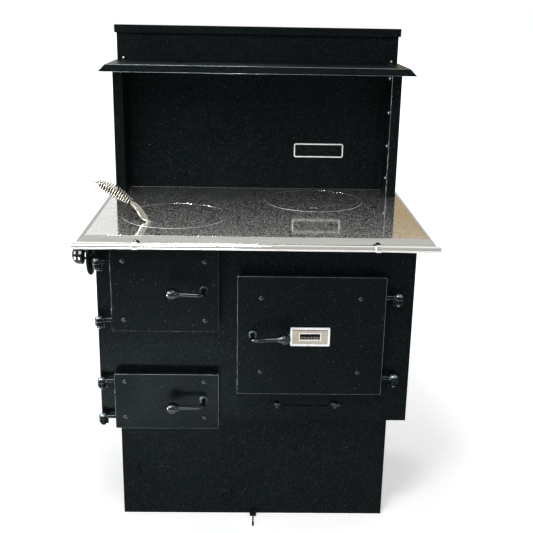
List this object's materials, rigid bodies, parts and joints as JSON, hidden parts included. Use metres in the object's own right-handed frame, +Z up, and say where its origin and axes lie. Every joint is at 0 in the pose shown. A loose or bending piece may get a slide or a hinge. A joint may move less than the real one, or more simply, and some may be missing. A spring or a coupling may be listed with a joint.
{
  "type": "wood cookstove",
  "caption": "Freestanding wood-burning cookstove on a pedestal: steel body with firebox, ash and oven doors, polished top with lids and towel rail, splash back and warming shelf.",
  "frame": {"origin": "centre of the pedestal's footprint, on the floor", "axes": "+X to the right seen from the front, -Y out of the front, +Z up"},
  "size_m": [1.0261, 0.7386, 1.4445],
  "materials": {
    "black_paint": "satin black paint with a fine speckle",
    "black_gloss": "gloss black paint",
    "knob_black": "gloss black",
    "raw_steel": "dark mill steel",
    "polished_top": "polished, faintly brushed",
    "stainless": "polished",
    "chrome": "bright",
    "cast_iron": "as cast",
    "firebrick": "matt, porous",
    "rope": "woven rope",
    "galvanised": "zinc coated",
    "dial_face": "cream paint",
    "pointer_red": "red paint"
  },
  "bodies": {
    "stove": {"pedestal_base": "black_paint", "body_floor": "black_paint", "front_plate": "black_paint", "side_panel_left": "black_paint", "side_panel_right": "black_paint", "rear_panel": "black_paint", "flue_collar": "black_paint", "cooktop_plate": "polished_top", "cooktop_trim": "stainless", "front_rail": "stainless", "splash_back": "black_paint", "splash_column_left": "black_paint", "splash_column_right": "black_paint", "warming_shelf": "black_paint", "backguard_cap": "black_paint", "fire_hinge_upper": "black_paint", "fire_hinge_lower": "black_paint", "ash_hinge_upper": "black_paint", "ash_hinge_lower": "black_paint", "oven_hinge_upper": "black_paint", "oven_hinge_lower": "black_paint", "firebox_body": "raw_steel", "firebrick_lining": "firebrick", "fire_grate": "cast_iron", "oven_box": "black_paint", "draft_collar": "black_paint", "cleanout_cover": "black_paint"},
    "front_lid": {"lid_front_left": "polished_top"},
    "lifter": {"lid_lifter": "chrome", "lifter_grip": "chrome"},
    "rear_lid": {"lid_rear_right": "polished_top"},
    "fire_door": {"fire_door_panel": "black_paint", "fire_door_liner": "raw_steel", "fire_door_gasket": "rope"},
    "fire_handle": {"fire_door_handle": "black_gloss", "fire_door_knob": "knob_black", "fire_door_latch": "raw_steel"},
    "ash_door": {"ash_door_panel": "black_paint", "ash_door_liner": "raw_steel", "ash_door_gasket": "rope"},
    "ash_handle": {"ash_door_handle": "black_gloss", "ash_door_knob": "knob_black", "ash_door_latch": "raw_steel"},
    "oven_door": {"oven_door_panel": "black_paint", "oven_door_liner": "raw_steel", "oven_door_gasket": "rope", "thermometer_bezel": "stainless", "thermometer_dial": "dial_face"},
    "oven_handle": {"oven_door_handle": "black_gloss", "oven_door_knob": "knob_black", "oven_door_latch": "raw_steel"},
    "oven_pointer": {"thermometer_pointer": "pointer_red"},
    "draft_plate": {"draft_disc": "black_paint"},
    "draft_grip": {"draft_spindle": "chrome", "draft_knob": "knob_black"},
    "left_turn_latch": {"cleanout_latch_left": "black_gloss"},
    "right_turn_latch": {"cleanout_latch_right": "black_gloss"},
    "air_pull": {"air_slide_rod": "chrome"},
    "ash_tray": {"ash_pan": "galvanised"},
    "rack": {"oven_rack": "chrome"}
  },
  "joints": [
    {"name": "fire_door_swing", "type": "hinge", "parent": "stove", "child": "fire_door", "pos_m": [-0.437, -0.325, 0.7515], "axis": [0, 0, -1], "range_deg": [0, 115]},
    {"name": "fire_handle_turn", "type": "hinge", "parent": "fire_door", "child": "fire_handle", "pos_m": [-0.144, -0.335, 0.76], "axis": [0, 1, 0], "range_deg": [0, 90]},
    {"name": "ash_door_swing", "type": "hinge", "parent": "stove", "child": "ash_door", "pos_m": [-0.437, -0.325, 0.4245], "axis": [0, 0, -1], "range_deg": [0, 115]},
    {"name": "ash_handle_turn", "type": "hinge", "parent": "ash_door", "child": "ash_handle", "pos_m": [-0.146, -0.335, 0.427], "axis": [0, 1, 0], "range_deg": [0, 90]},
    {"name": "oven_door_swing", "type": "hinge", "parent": "stove", "child": "oven_door", "pos_m": [0.3985, -0.325, 0.619], "axis": [0, 0, 1], "range_deg": [0, 115]},
    {"name": "oven_handle_turn", "type": "hinge", "parent": "oven_door", "child": "oven_handle", "pos_m": [-0.008, -0.335, 0.63], "axis": [0, -1, 0], "range_deg": [0, 90]},
    {"name": "oven_pointer_turn", "type": "hinge", "parent": "oven_door", "child": "oven_pointer", "pos_m": [0.1533, -0.3295, 0.64], "axis": [0, 1, 0], "range_deg": [-32, 32]},
    {"name": "front_lid_lift", "type": "slide", "parent": "stove", "child": "front_lid", "axis": [0, 0, 1], "range_m": [0, 0.15]},
    {"name": "lifter_lift", "type": "slide", "parent": "front_lid", "child": "lifter", "axis": [0, 0, 1], "range_m": [0, 0.12]},
    {"name": "rear_lid_lift", "type": "slide", "parent": "stove", "child": "rear_lid", "axis": [0, 0, 1], "range_m": [0, 0.15]},
    {"name": "draft_slide", "type": "slide", "parent": "stove", "child": "draft_plate", "axis": [-1, 0, 0], "range_m": [-0.002, 0.016]},
    {"name": "draft_spin", "type": "hinge", "parent": "draft_plate", "child": "draft_grip", "pos_m": [-0.5, -0.185, 0.814], "axis": [-1, 0, 0], "range_deg": [-454, 3629]},
    {"name": "left_turn_latch_turn", "type": "hinge", "parent": "stove", "child": "left_turn_latch", "pos_m": [0.0655, -0.306, 0.403], "axis": [0, 1, 0], "range_deg": [0, 180]},
    {"name": "right_turn_latch_turn", "type": "hinge", "parent": "stove", "child": "right_turn_latch", "pos_m": [0.236, -0.306, 0.403], "axis": [0, 1, 0], "range_deg": [0, 170]},
    {"name": "air_pull_slide", "type": "slide", "parent": "stove", "child": "air_pull", "axis": [0, -1, 0], "range_m": [0, 0.06]},
    {"name": "ash_tray_slide", "type": "slide", "parent": "stove", "child": "ash_tray", "axis": [0, -1, 0], "range_m": [0, 0.014]},
    {"name": "rack_slide", "type": "slide", "parent": "stove", "child": "rack", "axis": [0, -1, 0], "range_m": [0, 0.014]}
  ],
  "couplings": [
    {"joint": "draft_spin", "follows": "draft_slide", "rad_per_m": 3957.9}
  ]
}
